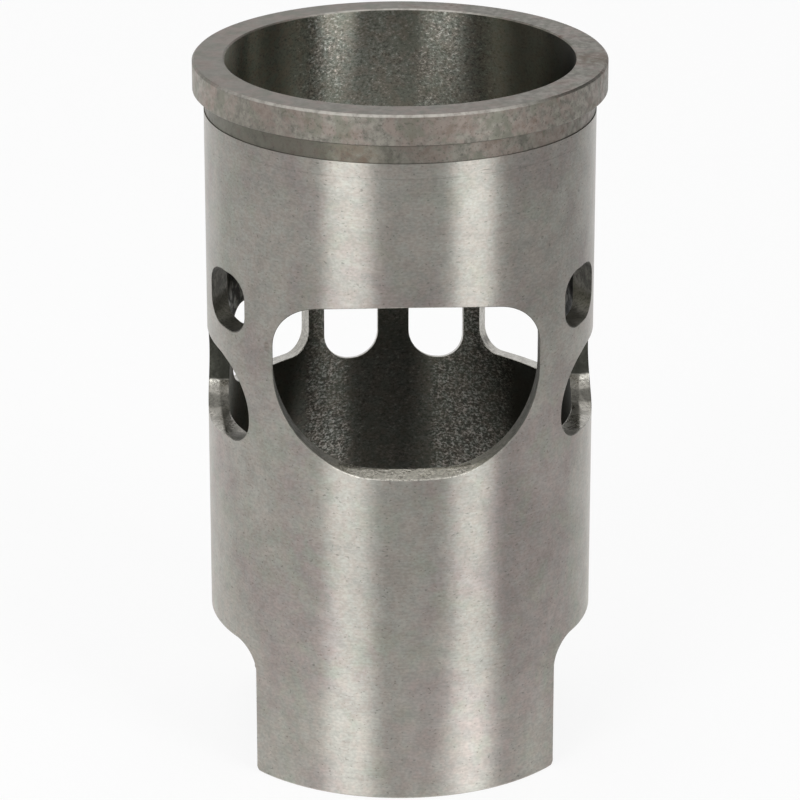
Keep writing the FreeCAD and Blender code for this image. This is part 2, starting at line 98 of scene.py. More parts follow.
class LinerSizes(bpy.types.PropertyGroup):
    length: length("Length", 138.2, "Top face to the ends of the skirt tongues")
    bore_radius: length("Bore radius", 33.5, "Running bore")
    body_radius: length("Body radius", 37.5, "Ground outside")
    neck_radius: length("Neck radius", 37.3, "Relief under the flange")
    flange_radius: length("Flange radius", 39.6, "Flange")
    flange_thickness: length("Flange thickness", 5.9, "Height of the flange")
    neck_height: length("Neck height", 4.0, "Height of the relief under the flange")
    flange_chamfer: length("Flange chamfer", 0.4, "Outer edge of the top face")
    flange_under_chamfer: length("Under chamfer", 0.15, "Lower outer edge of the flange")
    bore_top_chamfer: length("Bore top chamfer", 0.25, "Bore's edge at the top face")
    bore_bottom_chamfer: length("Bore bottom chamfer", 0.6, "Bore's edge at the skirt's end")
    skirt_end_chamfer: length("Skirt end chamfer", 0.35, "Outer edge at the skirt's end")
    skirt_half_width: length("Skirt cut half width", 23.7, "Half the width between tongues")
    skirt_cut_top: length("Skirt cut top", 26.4, "Height of the cut-aways")
    skirt_cut_radius: length("Skirt cut radius", 5.3, "Upper corners of the cut-aways")
    tongue_radius: length("Tongue radius", 1.5, "End corners of the tongues")
    edge_break: length("Edge break", 0.16, "Rounding left by deburring round each port")


class PortSizes(bpy.types.PropertyGroup):
    both_sides: BoolProperty(name="Both sides", default=True, description="Mirrored over x = 0")
    facing: angle("Facing", "Turn of the outline's plane from the front")
    heading: angle("Heading", "Turn of the cutting direction from the front")
    distance: length("Distance", 0.0, "Outline's plane from the axis")
    left: FloatProperty(
        name="Left", default=-5 * MM, unit="LENGTH", description="Left jamb in that plane")
    right: FloatProperty(
        name="Right", default=5 * MM, unit="LENGTH", description="Right jamb in that plane")
    roof: length("Roof", 55.0, "Roof's depth below the top face")
    floor: length("Floor", 70.0, "Floor's depth below the top face")
    corners: FloatVectorProperty(
        name="Corners", size=4, default=(4 * MM,) * 4, unit="LENGTH",
        description="Radii at floor right, roof right, roof left and floor left")
    crown_radius: length("Crown radius", 0.0, "Arch of the roof, or 0 for a level roof")
    fall: angle("Fall", "How much the cut falls outwards")
    fall_start: length("Fall start", 0.0, "Reach at which a floor begins to fall")
    floor_only: BoolProperty(
        name="Floor only", default=False, description="Only the lower half falls")
    flare_start: length("Flare start", 100.0, "Reach at which the mouth begins to flare")
    flare: angle("Flare", "How much the mouth flares")


# Exhaust, auxiliary exhausts, side transfers, rear transfers and boost ports, in
# millimetres and degrees. What a row leaves out has its default.
PORTS = (
    {"both_sides": False, "left": -25.15, "right": 25.15, "roof": 37.75, "floor": 71.2,
     "corners": (18.0, 9.5, 9.5, 18.0), "crown_radius": 100.0,
     "fall": 11.3, "fall_start": 33.5, "floor_only": True},
    {"facing": 22.0, "heading": 22.0, "left": 19.9, "right": 30.5,
     "roof": 37.3, "floor": 48.7, "corners": (4.2,) * 4},
    {"facing": 86.0, "heading": 86.0, "left": -20.6, "right": 6.9,
     "roof": 54.4, "floor": 70.6, "corners": (10.41, 5.69, 10.5, 5.0),
     "flare_start": 35.1, "flare": 15.0},
    {"facing": 126.2, "heading": 160.0, "distance": 30.874, "left": -13.0, "right": 13.0,
     "roof": 53.6, "floor": 70.1, "corners": (4.9,) * 4, "fall": 8.0},
    {"facing": 164.9, "heading": 180.0, "distance": 33.02, "left": -5.65, "right": 5.65,
     "roof": 55.0, "floor": 72.6, "corners": (5.4, 5.2, 5.2, 5.4), "fall": 17.0},
)


class LinerFinish(bpy.types.PropertyGroup):
    ground: colour("Ground iron", (0.335, 0.318, 0.287), "Ground outside of the body")
    ground_warm: colour("Warm cast", (0.328, 0.292, 0.274), "Purple-brown clouds in it")
    ground_cool: colour("Cool cast", (0.309, 0.311, 0.268), "Olive clouds in it")
    turned: colour("Turned iron", (0.232, 0.219, 0.190), "Flange, neck and top face")
    turned_warm: colour("Warm turned", (0.250, 0.206, 0.182), "Purple-brown clouds in it")
    turned_cool: colour("Cool turned", (0.170, 0.169, 0.137), "Olive clouds in it")
    # This pale colour is used for painted highlights on the top face's edges and painted glints in
    # the bore.
    edge: colour("Worn edge", (0.560, 0.535, 0.490), "Burnished chamfers")
    bored: colour("Bored iron", (0.200, 0.196, 0.168), "Bore wall")
    bored_cool: colour("Cool bored", (0.150, 0.150, 0.118), "Olive clouds in it")
    milled: colour("Milled iron", (0.420, 0.402, 0.360), "Port walls and cut edges")
    # The next colour is the painted shade and painted dark reflection on the port walls.
    painted_port_shade: colour("Soot", (0.030, 0.031, 0.024), "Oily soot left on port walls")
    stain: colour("Stain", (0.110, 0.065, 0.035), "Brown oil and rust stains")
    # Wear also sets the strength of the painted shade on the port walls.
    wear: FloatProperty(
        name="Wear", default=1.0, min=0.0, max=1.0, subtype="FACTOR",
        description="Strength of specks, stains, scratches and soot")


class StudioSettings(bpy.types.PropertyGroup):
    floor: colour("Floor", (0.96, 0.96, 0.96), "Floor paper")
    pale: colour("Pale screen", (0.75, 0.75, 0.75), "Screen on the left")
    grey: colour("Grey screen", (0.24, 0.24, 0.24), "Screen behind the camera")
    black: colour("Black screen", (0.08, 0.08, 0.08), "Screen on the right")
    fill: FloatProperty(name="Fill", default=0.90, min=0.0, description="World light")
    strips: FloatProperty(
        name="Strips", default=4.45, min=0.0, unit="POWER", description="Power of the strip lamps")
    lamp: colour("Lamp colour", (0.965, 0.99, 1.0), "Slightly cool light of the strip lamps")
    lens: FloatProperty(name="Lens", default=190.2, min=1.0, description="Focal length in mm")


class LinerSettings(bpy.types.PropertyGroup):
    sizes: PointerProperty(type=LinerSizes, name="Sizes", description="Sizes of the liner")
    ports: CollectionProperty(type=PortSizes, name="Ports", description="Sizes of each port")
    finish: PointerProperty(type=LinerFinish, name="Finish", description="Colours and wear")
    studio: PointerProperty(type=StudioSettings, name="Studio", description="Lights and view")


def fill_ports(ports):
    """Write the table of ports into the settings."""
    for row in PORTS:
        port = ports.add()
        for field, value in row.items():
            if field in ("facing", "heading", "fall", "flare"):
                value = math.radians(value)
            elif not isinstance(value, bool):
                value = np.multiply(value, MM).tolist()
            setattr(port, field, value)


# Outlines, as rows of points and of the directions that point into the metal.


def straight(start, end):
    """Evenly spaced points from start up to, but without, end; the metal is on the right."""
    start, end = np.array(start), np.array(end)
    along = end - start
    count = max(1, math.ceil(np.hypot(*along) / STEP))
    part = np.arange(count)[:, None] / count
    return start + part * along, np.repeat(unit(along[None, ::-1] * -FLIP), count, 0)


def bend(centre, radius, start, end, step=STEP):
    """Points of an arc from start up to, but without, end: centre + r (cos a, sin a)."""
    sweep = math.radians(end - start)
    count = max(3, math.ceil(abs(sweep) * radius / step))
    turn = math.radians(start) + sweep * np.arange(count) / count
    away = np.stack([np.cos(turn), np.sin(turn)], 1)
    return np.array(centre) + radius * away, away * np.sign(sweep)


def joined(*runs):
    """Put runs of points and directions end to end."""
    return tuple(np.concatenate(rows) for rows in zip(*runs))


def unit(vectors):
    """Vectors along the last axis at length 1, or 0 where they have no length."""
    return vectors / np.maximum(np.linalg.norm(vectors, axis=-1, keepdims=True), TINY)


def port_outline(port, top):
    """Closed outline of a port in its own plane, anticlockwise seen from outside.

    A port has a floor, two jambs, a level or arched roof and four corner radii. Under an
    arched roof each upper corner touches its jamb and the inside of the arch.
    """
    left, right = port.left, port.right
    floor, roof, arch = top - port.floor, top - port.roof, port.crown_radius
    low_right, high_right, high_left, low_left = port.corners
    if arch > 0:
        lean = math.degrees(math.asin((right - high_right) / (arch - high_right)))
        up_right = roof - arch + (arch - high_right) * math.cos(math.radians(lean))
        up_left = up_right
        crown = bend((0, roof - arch), arch, 90 - lean, 90 + lean)
    else:
        lean, up_right, up_left = 0, roof - high_right, roof - high_left
        crown = straight((right - high_right, roof), (left + high_left, roof))
    return joined(
        straight((left + low_left, floor), (right - low_right, floor)),
        bend((right - low_right, floor + low_right), low_right, 270, 360),
        straight((right, floor + low_right), (right, up_right)),
        bend((right - high_right, up_right), high_right, 0, 90 - lean),
        crown,
        bend((left + high_left, up_left), high_left, 90 + lean, 180),
        straight((left, up_left), (left, floor + low_left)),
        bend((left + low_left, floor + low_left), low_left, 180, 270))


def on_port_wall(port, outline, away, reach):
    """Points of a port's wall: outline + reach along the heading.

    Past the flare's start the outline grows by the tangent of the flare, along its own
    normals. The wall drops by the tangent of the fall, over the whole reach, or past the
    fall's start for the lower half only. outline and away are rows, reach is rows by steps.
    """
    grow = np.maximum(0.0, reach - port.flare_start) * math.tan(port.flare)
    across = outline[:, :1] + away[:, :1] * grow
    up = outline[:, 1:] + away[:, 1:] * grow
    drop = reach
    if port.floor_only:
        middle = (outline[:, 1].min() + outline[:, 1].max()) / 2
        drop = (outline[:, 1:] < middle) * np.maximum(0.0, reach - port.fall_start)
    x, y = (
        port.distance * out + across * side + reach * head
        for out, side, head in (
            (math.sin(port.facing), math.cos(port.facing), math.sin(port.heading)),
            (-math.cos(port.facing), math.sin(port.facing), -math.cos(port.heading))))
    return np.stack([x, y, up - drop * math.tan(port.fall)], -1)


def reach_of_radius(port, outline, away, radius):
    """Reach at which each ruling of a port's wall meets the cylinder, by halving."""
    low, high = (np.full((len(outline), 1), reach) for reach in REACHES)
    for _ in range(HALVINGS):
        middle = (low + high) / 2
        place = on_port_wall(port, outline, away, middle)
        beyond = np.hypot(place[..., 0], place[..., 1]) > radius
        low, high = np.where(beyond, low, middle), np.where(beyond, middle, high)
    return (low + high) / 2


def rolled(turn, height, radius):
    """The point at that turn, height and radius."""
    return np.stack([radius * np.sin(turn), -radius * np.cos(turn), height + 0 * turn], -1)


def along_rows(points, closed):
    """Direction from each row's neighbour before to the one after; closed joins the ends."""
    if closed:
        return np.roll(points, -1, 0) - np.roll(points, 1, 0)
    return np.gradient(points, axis=0)


def grid_normals(points, closed):
    """Normals of a grid from the cross product of its two directions."""
    return unit(np.cross(along_rows(points, closed), np.gradient(points, axis=1)))


def stepped_back(edge, radius, width, closed, inwards):
    """Move an edge on a cylinder into the metal by a width, on the unrolled surface.

    The direction is square to the edge's own line; inwards gives a rough direction into
    the metal in turn and height, which settles the sign.
    """
    flat = np.stack([np.arctan2(edge[:, 0], -edge[:, 1]) * radius, edge[:, 2]], 1)
    square = unit(along_rows(flat, closed))[:, ::-1] * -FLIP
    sign = np.sign((square * inwards).sum())
    return flat + sign * square * np.reshape(width, (-1, 1))


def rounding(first, corner, last):
    """Curve through each corner: (1-t)^2 first + 2 t (1-t) corner + t^2 last."""
    t = np.linspace(0.0, 1.0, ROUNDING_STEPS)[None, :, None]
    return (1 - t) ** 2 * first[:, None] + 2 * t * (1 - t) * corner[:, None] + t * t * last[:, None]


class Shell:
    """Triangles with a normal at each corner and a finish for each face."""

    def __init__(self):
        self.corners, self.normals, self.finishes = [], [], []

    def grid(self, points, normals, finish, closed=False):
        """Add a grid of rows by steps; closed joins its last row to its first."""
        if closed:
            points = np.concatenate([points, points[:1]])
            normals = np.concatenate([normals, normals[:1]])
        early, late = slice(None, -1), slice(1, None)
        a, b, c, d = (early, early), (late, early), (late, late), (early, late)
        for keys in ((a, b, c), (a, c, d)):
            place, facing = (
                np.stack([values[key] for key in keys], 2).reshape(-1, 3, 3)
                for values in (points, normals))
            self.facing_out(place, facing, finish)

    def facing_out(self, place, facing, finish):
        """Add triangles, turned so that each winds the way that its normals point."""
        flat = np.cross(place[:, 1] - place[:, 0], place[:, 2] - place[:, 0])
        wrong = (flat * facing.sum(1)).sum(1) < 0
        place[wrong] = place[wrong][:, ::-1]
        facing[wrong] = facing[wrong][:, ::-1]
        self.corners.append(place)
        self.normals.append(facing)
        self.finishes.append(np.full(len(place), finish))

    def include(self, other, mirror=False):
        """Add another shell as it is, or its mirror image over x = 0."""
        way = -1 if mirror else 1
        flip = np.array([way, 1, 1])
        self.corners += [place[:, ::way] * flip for place in other.corners]
        self.normals += [facing[:, ::way] * flip for facing in other.normals]
        self.finishes += other.finishes

    def mesh(self, name):
        """One closed mesh: equal corners are merged and empty triangles dropped."""
        corners = np.concatenate(self.corners).reshape(-1, 3)
        normals = np.concatenate(self.normals)
        finishes = np.concatenate(self.finishes)
        keys = np.round(corners / MERGE).astype(np.int64)
        _, first, index = np.unique(keys, axis=0, return_index=True, return_inverse=True)
        index = index.reshape(-1, 3)
        full = (index != np.roll(index, 1, 1)).all(1)
        index, normals, finishes = index[full], normals[full], finishes[full]
        mesh = bpy.data.meshes.new(name)
        mesh.from_pydata(corners[first].tolist(), [], index.tolist())
        mesh.polygons.foreach_set("material_index", finishes.astype(np.int32))
        mesh.polygons.foreach_set("use_smooth", np.ones(len(index), bool))
        mesh.normals_split_custom_set(unit(normals).reshape(-1, 3).tolist())
        mesh.update()
        return mesh


def rounded_wall(place, ends, rough, width, closed, steps):
    """Points of a wall of rulings from the bore to the outside, with rounded edges.

    place gives the points at a reach along each ruling. An end is the cylinder's radius,
    the edge's own, its reach and the way into the wall. There the last width gives way to
    a curve onto the cylinder. Returns the points and where the two cylinders begin.
    """
    curves, lines, reaches = [], [], []
    for base, radius, reach, way in ends:
        edge = place(reach)[:, 0]
        line = stepped_back(edge, base, width, closed, rough)
        start = rolled(line[:, 0] / base, line[:, 1], np.where(width > 0, base, radius))
        within = reach + way * np.reshape(width, (-1, 1))
        curves.append(rounding(start, edge, place(within)[:, 0]))
        lines.append(line)
        reaches.append(within)
    part = np.linspace(0.0, 1.0, steps)[None, 1:-1]
    middle = place(reaches[0] + (reaches[1] - reaches[0]) * part)
    return np.concatenate([curves[0], middle, curves[1][:, ::-1]], 1), lines


def port_wall(sizes, port):
    """A port's wall: its shell, and the closed lines at which the cylinders begin."""
    outline, away = port_outline(port, sizes.length)
    ends = [(radius, radius, reach_of_radius(port, outline, away, radius), way)
            for radius, way in ((sizes.bore_radius, 1), (sizes.body_radius, -1))]
    least = 0.2  # keeps a sense of left and right where a port is cut far askew
    rough = away * np.array([max(math.cos(port.facing - port.heading), least), 1.0])
    points, lines = rounded_wall(
        partial(on_port_wall, port, outline, away), ends, rough, sizes.edge_break, True,
        PORT_STEPS)
    side = np.array([math.cos(port.facing), math.sin(port.facing)])
    metal = np.concatenate([away[:, :1] * side, away[:, 1:]], 1)
    normals = grid_normals(points, True)
    if (normals[:, FLAT_PART] * metal[:, None]).sum() > 0:
        normals = -normals
    for column, way in ((0, -1), (-1, 1)):
        radial = way * unit(points[:, column, :2])
        normals[:, column] = np.pad(radial, ((0, 0), (0, 1)))
    shell = Shell()
    shell.grid(points, normals, MILLED, closed=True)
    return shell, lines


def skirt_line(sizes):
    """Edge of the skirt's cut-away seen from the side, from the front tongue to the rear.

    Columns are y and z: round the front tongue's corner, up, over the top and down.
    """
    half, top = sizes.skirt_half_width, sizes.skirt_cut_top
    radius, tip = sizes.skirt_cut_radius, sizes.tongue_radius
    points = joined(
        bend((-half - tip, tip), tip, 270, 360, TIP_STEP),
        straight((-half, tip), (-half, top - radius)),
        bend((radius - half, top - radius), radius, 180, 90),
        straight((radius - half, top), (half - radius, top)),
        bend((half - radius, top - radius), radius, 90, 0),
        straight((half, top - radius), (half, tip)),
        bend((half + tip, tip), tip, 180, 270, TIP_STEP))[0]
    return np.concatenate([points, [[half + tip, 0.0]]])


def skirt_wall(sizes):
    """Wall of the cut-away on the right: level rulings square to the side view.

    Its rounded edges swell from nothing above the skirt's end, by 3 s^2 - 2 s^3. Returns
    the shell, the two open lines at which the cylinders begin and the radii of the wall's
    end row, which the tongues' end faces share.
    """
    line = skirt_line(sizes)
    y, z = line[:, :1], line[:, 1:]
    sharp_below, swell_over = 0.7 * MM, 1.2 * MM
    swell = np.clip((z[:, 0] - sharp_below) / swell_over, 0.0, 1.0)
    width = sizes.edge_break * swell * swell * (3 - 2 * swell)
    ends = [
        (base, radius[:, 0], np.sqrt(radius ** 2 - y ** 2), way)
        for base, radius, way in (
            (sizes.bore_radius, bore_radius_at(sizes, z), 1),
            (sizes.body_radius, body_radius_at(sizes, z), -1))]
    points, lines = rounded_wall(
        lambda reach: np.stack([reach, y + 0 * reach, z + 0 * reach], -1),
        ends, np.array([0.0, 1.0]), width, False, SKIRT_STEPS)
    square = unit(np.gradient(line, axis=0))[:, ::-1] * -FLIP
    level = np.repeat(np.pad(square, ((0, 0), (1, 0)))[:, None], points.shape[1], 1)
    normals = grid_normals(points, False)
    if (normals * level)[:, FLAT_PART].sum() < 0:
        normals = -normals
    normals = np.where((width <= 0)[:, None, None], level, normals)
    shell = Shell()
    shell.grid(points, normals, MILLED)
    return shell, lines, np.hypot(points[0, :, 0], points[0, :, 1])


def body_radius_at(sizes, height):
    """Outer radius near the skirt's end: the body less what its chamfer takes."""
    return sizes.body_radius - np.maximum(0.0, sizes.skirt_end_chamfer - height)


def bore_radius_at(sizes, height):
    """Inner radius near the skirt's end: the bore plus what its chamfer takes."""
    return sizes.bore_radius + np.maximum(0.0, sizes.bore_bottom_chamfer - height)


def inside(points, loops):
    """Even-odd test of points against closed loops, by rays to the right."""
    odd = np.zeros(len(points), bool)
    px, py = points[:, :1], points[:, 1:]
    for loop in loops:
        x1, y1 = loop.T
        x2, y2 = np.roll(loop, -1, 0).T
        rise = np.where(y2 == y1, TINY, y2 - y1)
        crosses = (y1 > py) != (y2 > py)
        at = (x2 - x1) * (py - y1) / rise + x1
        odd ^= (crosses & (px < at)).sum(1) % 2 == 1
    return odd


def holed_cylinder(shell, sizes, outwards, holes, skirt, tongue, top):
    """The body's outside or the bore, unrolled, filled with triangles and rolled up again.

    The border runs along the front tongue, the right cut-away, the rear tongue, up the
    line at the back, along the top at the columns, and down again. Points inside it lie
    on a grid of columns and rows.
    """
    radius, at_height, chamfer, finish, sign = (
        (sizes.body_radius, body_radius_at, sizes.skirt_end_chamfer, GROUND, 1.0) if outwards
        else (sizes.bore_radius, bore_radius_at, sizes.bore_bottom_chamfer, BORED, -1.0))
    rows = np.concatenate([[0.0, chamfer / 2, chamfer], np.linspace(chamfer, top, ROWS)[1:]])
    halfway = math.pi * radius
    right = radius * tongue[tongue > 0]
    rear = np.sort(halfway - right)
    half = np.concatenate([
        np.stack([right, 0 * right], 1),
        skirt[1:-1],
        np.stack([rear, 0 * rear], 1),
        np.stack([0 * rows[:-1] + halfway, rows[:-1]], 1),
    ])
    upper = np.stack([COLUMNS * radius, 0 * COLUMNS + top], 1)[::-1]
    border = np.concatenate([[[0.0, 0.0]], half, upper, half[::-1] * FLIP])
    loops = [border] + holes
    grid = np.stack(np.meshgrid(COLUMNS[1:-1] * radius, rows[1:-1]), -1).reshape(-1, 2)
    grid = grid[inside(grid, loops)]
    fence = np.concatenate(loops)
    clear = np.ones(len(grid), bool)
    for part in np.array_split(fence, PARTS):
        gap = grid[:, None] - part
        clear &= (np.hypot(gap[..., 0], gap[..., 1]) > CLEAR).all(1)
    points = np.concatenate([fence, grid[clear]])
    index = np.split(np.arange(len(fence)), np.cumsum([len(loop) for loop in loops])[:-1])
    links = np.concatenate([np.stack([own, np.roll(own, -1)], 1) for own in index])
    found = delaunay_2d_cdt([Vector(point) for point in (points / MM).tolist()],
                            links.tolist(), [], INSIDE_ONLY, CLOSE)
    source = np.array([ids[0] for ids in found[3]])
    index = source[np.array(found[2])]
    index = index[inside(points[index].mean(1), loops)]
    turn, height = points[index][..., 0] / radius, points[index][..., 1]
    place = rolled(turn, height, at_height(sizes, height))
    facing = rolled(turn, 0 * height, sign + 0 * turn)
    facing[height.mean(1) < chamfer, :, 2] -= 1.0
    shell.facing_out(place, facing, finish)


def tongue_ends(shell, sizes, rows):
    """Flat ends of the tongues: turn = share x the turn at which y is the cut's edge."""
    turn = SHARES[:, None] * np.arccos((sizes.skirt_half_width + sizes.tongue_radius) / rows)
    points = rolled(turn, 0 * turn, rows + 0 * turn)
    normals = np.zeros_like(points)
    normals[..., 2] = -1.0
    for side in (1.0, -1.0):
        shell.grid(points * np.array([1.0, side, 1.0]), normals, MILLED)


def turned_head(shell, sizes, outer_start, inner_start):
    """Flange, neck and bore mouth: a profile of radius and height carried round the axis.

    Each run of the profile is its own band, so that its corners stay crisp.
    """
    top = sizes.length
    under = top - sizes.flange_thickness
    shoulder = under - sizes.neck_height
    low, high = sizes.flange_under_chamfer, sizes.flange_chamfer
    mouth = sizes.bore_top_chamfer
    body, neck = sizes.body_radius, sizes.neck_radius
    flange, bore = sizes.flange_radius, sizes.bore_radius
    profile = [
        (body, outer_start), (body, shoulder), (neck, shoulder), (neck, under),
        (flange - low, under), (flange, under + low), (flange, top - high),
        (flange - high, top), (bore + mouth, top), (bore, top - mouth), (bore, inner_start),
    ]
    finishes = [GROUND] + [TURNED] * (len(profile) - 3) + [BORED]
    for (r1, z1), (r2, z2), finish in zip(profile, profile[1:], finishes):
        slope = math.hypot(r2 - r1, z2 - z1)
        part = np.linspace(0.0, 1.0, 2 + int(slope / HEAD_STEP))
        turn = COLUMNS[:, None] + 0 * part
        points = rolled(turn, z1 + (z2 - z1) * part, r1 + (r2 - r1) * part)
        normals = rolled(turn, (r1 - r2) / slope, (z2 - z1) / slope)
        shell.grid(points, normals, finish)


def liner_shell(sizes, ports):
    """The whole liner as one closed shell."""
    shell, bore_holes, body_holes = Shell(), [], []
    for port in ports:
        wall, lines = port_wall(sizes, port)
        shell.include(wall)
        if port.both_sides:
            shell.include(wall, mirror=True)
        for holes, line in zip((bore_holes, body_holes), lines):
            holes.append(line)
            if port.both_sides:
                holes.append((line * FLIP)[::-1])
    wall, (bore_edge, body_edge), rows = skirt_wall(sizes)
    shell.include(wall)
    shell.include(wall, mirror=True)
    tongue_ends(shell, sizes, rows)
    outer_top, inner_top = sizes.length - HEAD_OUTSIDE, sizes.length - HEAD_INSIDE
    edge = sizes.skirt_half_width + sizes.tongue_radius
    for outwards, holes, skirt, radius, top in (
        (True, body_holes, body_edge, rows[-1], outer_top),
        (False, bore_holes, bore_edge, rows[0], inner_top),
    ):
        tongue = SHARES * math.acos(edge / radius)
        holed_cylinder(shell, sizes, outwards, holes, skirt, tongue, top)
    turned_head(shell, sizes, outer_top, inner_top)
    return shell


class Nodes:
    """The shader nodes of a material or a world under construction."""

    def __init__(self, owner):
        self.owner = owner
        owner.use_nodes = True
        self.tree = owner.node_tree
        self.tree.nodes.clear()

    def put(self, kind, inputs=(), **options):
        """Add a node, set its options and fill or link its inputs."""
        node = self.tree.nodes.new("ShaderNode" + kind)
        for key, value in options.items():
            setattr(node, key, value)
        for key, value in dict(inputs).items():
            if isinstance(value, bpy.types.NodeSocket):
                self.tree.links.new(value, node.inputs[key])
            else:
                node.inputs[key].default_value = value
        return node

    def finish(self, shader):
        """Link the last shader to the output and return the material or world."""
        kind = "OutputWorld" if isinstance(self.owner, bpy.types.World) else "OutputMaterial"
        self.put(kind, {"Surface": shader.outputs[0]})
        return self.owner

    def maths(self, operation, *values):
        """One step of arithmetic on numbers."""
        return self.put("Math", enumerate(values), operation=operation).outputs[0]

    def times(self, *values):
        """Product of all values."""
        return reduce(partial(self.maths, "MULTIPLY"), values)

    def plus(self, *values):
        """Sum of all values."""
        return reduce(partial(self.maths, "ADD"), values)

    def most(self, *values):
        """Largest of all values."""
        return reduce(partial(self.maths, "MAXIMUM"), values)

    def minus(self, first, second):
        """First less second."""
        return self.maths("SUBTRACT", first, second)

    def line(self, value, slope, start):
        """Slope times a value, plus start."""
        return self.maths("MULTIPLY_ADD", value, slope, start)

    def vectors(self, operation, first, second):
        """One step of arithmetic on vectors or colours; SCALE takes a number second."""
        key = 3 if operation == "SCALE" else 1
        return self.put("VectorMath", {0: first, key: second}, operation=operation).outputs[0]

    def ramp(self, value, low, high, start=0.0, end=1.0):
        """Map low..high of a value smoothly to start..end."""
        return self.put(
            "MapRange",
            {"Value": value, "From Min": low, "From Max": high, "To Min": start, "To Max": end},
            interpolation_type="SMOOTHSTEP").outputs["Result"]

    def band(self, value, low, low_full, high_full, high):
        """1 from low full to high full, fading to 0 at low and at high."""
        return self.times(self.ramp(value, low, low_full), self.ramp(value, high, high_full))

    def near(self, value, middle, full, none):
        """1 within full of the middle, fading to 0 at none."""
        away = self.maths("ABSOLUTE", self.minus(value, middle))
        return self.ramp(away, full, none, 1.0, 0.0)

    def mixed(self, factor, first, second):
        """The first colour at factor 0, the second at factor 1."""
        return self.put("Mix", {0: factor, 6: first, 7: second}, data_type="RGBA").outputs[2]

    def seen(self):
        """1 for rays of the camera, of reflections and of transmission, otherwise 0."""
        path = self.put("LightPath").outputs
        return self.most(
            path["Is Camera Ray"], path["Is Glossy Ray"], path["Is Transmission Ray"])


class PlacedNodes(Nodes):
    """A material laid out by place on its object, in millimetres and radians."""

    def __init__(self, name):
        super().__init__(bpy.data.materials.new(name))
        self.place = self.vectors("SCALE", self.put("TexCoord").outputs["Object"], 1 / MM)
        self.x, self.y, self.height = self.put("SeparateXYZ", {0: self.place}).outputs

    @cached_property
    def side(self):
        """Distance from the plane x = 0."""
        return self.maths("ABSOLUTE", self.x)

    @cached_property
    def turn(self):
        """Turn about the axis from the front, to the right."""
        return self.maths("ARCTAN2", self.x, self.times(self.y, -1.0))

    @cached_property
    def radius(self):
        """Distance from the axis."""
        return self.maths("SQRT", self.line(self.x, self.x, self.times(self.y, self.y)))

    def noise(self, scale, detail, roughness=0.5, distortion=0.0, level=1.0, upright=1.0):
        """Noise from 0 to 1, packed closer by level and upright in those directions."""
        vector = self.place
        if (level, upright) != (1.0, 1.0):
            vector = self.vectors("MULTIPLY", vector, (level, level, upright))
        return self.put("TexNoise", {
            "Vector": vector, "Scale": scale, "Detail": detail, "Roughness": roughness,
            "Distortion": distortion}).outputs["Fac"]

    def spot(self, at_turn, at_height, wide, tall):
        """1 inside an oval round a turn in degrees and a height in mm, fading to 0."""
        across = self.minus(self.turn, math.radians(at_turn))
        across = self.maths("DIVIDE", across, math.radians(wide))
        up = self.maths("DIVIDE", self.minus(self.height, at_height), tall)
        reach = self.line(across, across, self.times(up, up))
        return self.ramp(reach, 0.2, 1.0, 1.0, 0.0)

    def tinted(self, base, strength):
        """Drift a colour between warm and cool in small patches."""
        warm, cool = (
            self.vectors("MULTIPLY", base, tuple(1.0 + strength * part for part in tint))
            for tint in ((1.0, -0.7, -1.0), (-0.8, 0.6, 0.8)))
        return self.mixed(self.ramp(self.noise(0.5, 3.0, 0.6), 0.38, 0.62), warm, cool)

    def metal(self, base, rough, relief, strength, depth, drawn=False):
        """Finish as bare metal with a bump; drawn pulls its gleam out along the axis."""
        bump = self.put("Bump", {"Height": relief, "Strength": strength, "Distance": depth})
        inputs = {"Base Color": base, "Metallic": 1.0, "Roughness": rough,
                  "Normal": bump.outputs[0]}
        if drawn:
            normal = self.put("NewGeometry").outputs["Normal"]
            round_axis = self.vectors("CROSS_PRODUCT", (0.0, 0.0, 1.0), normal)
            inputs.update({
                "Anisotropic": 1.0, "Anisotropic Rotation": 0.25, "Tangent": round_axis})
        return self.finish(self.put("BsdfPrincipled", inputs))


def rgba(value, gain=1.0):
    """A colour times a gain, with its fourth number."""
    return (value[0] * gain, value[1] * gain, value[2] * gain, 1.0)


# Finishes. Heights and distances are in millimetres on the object.


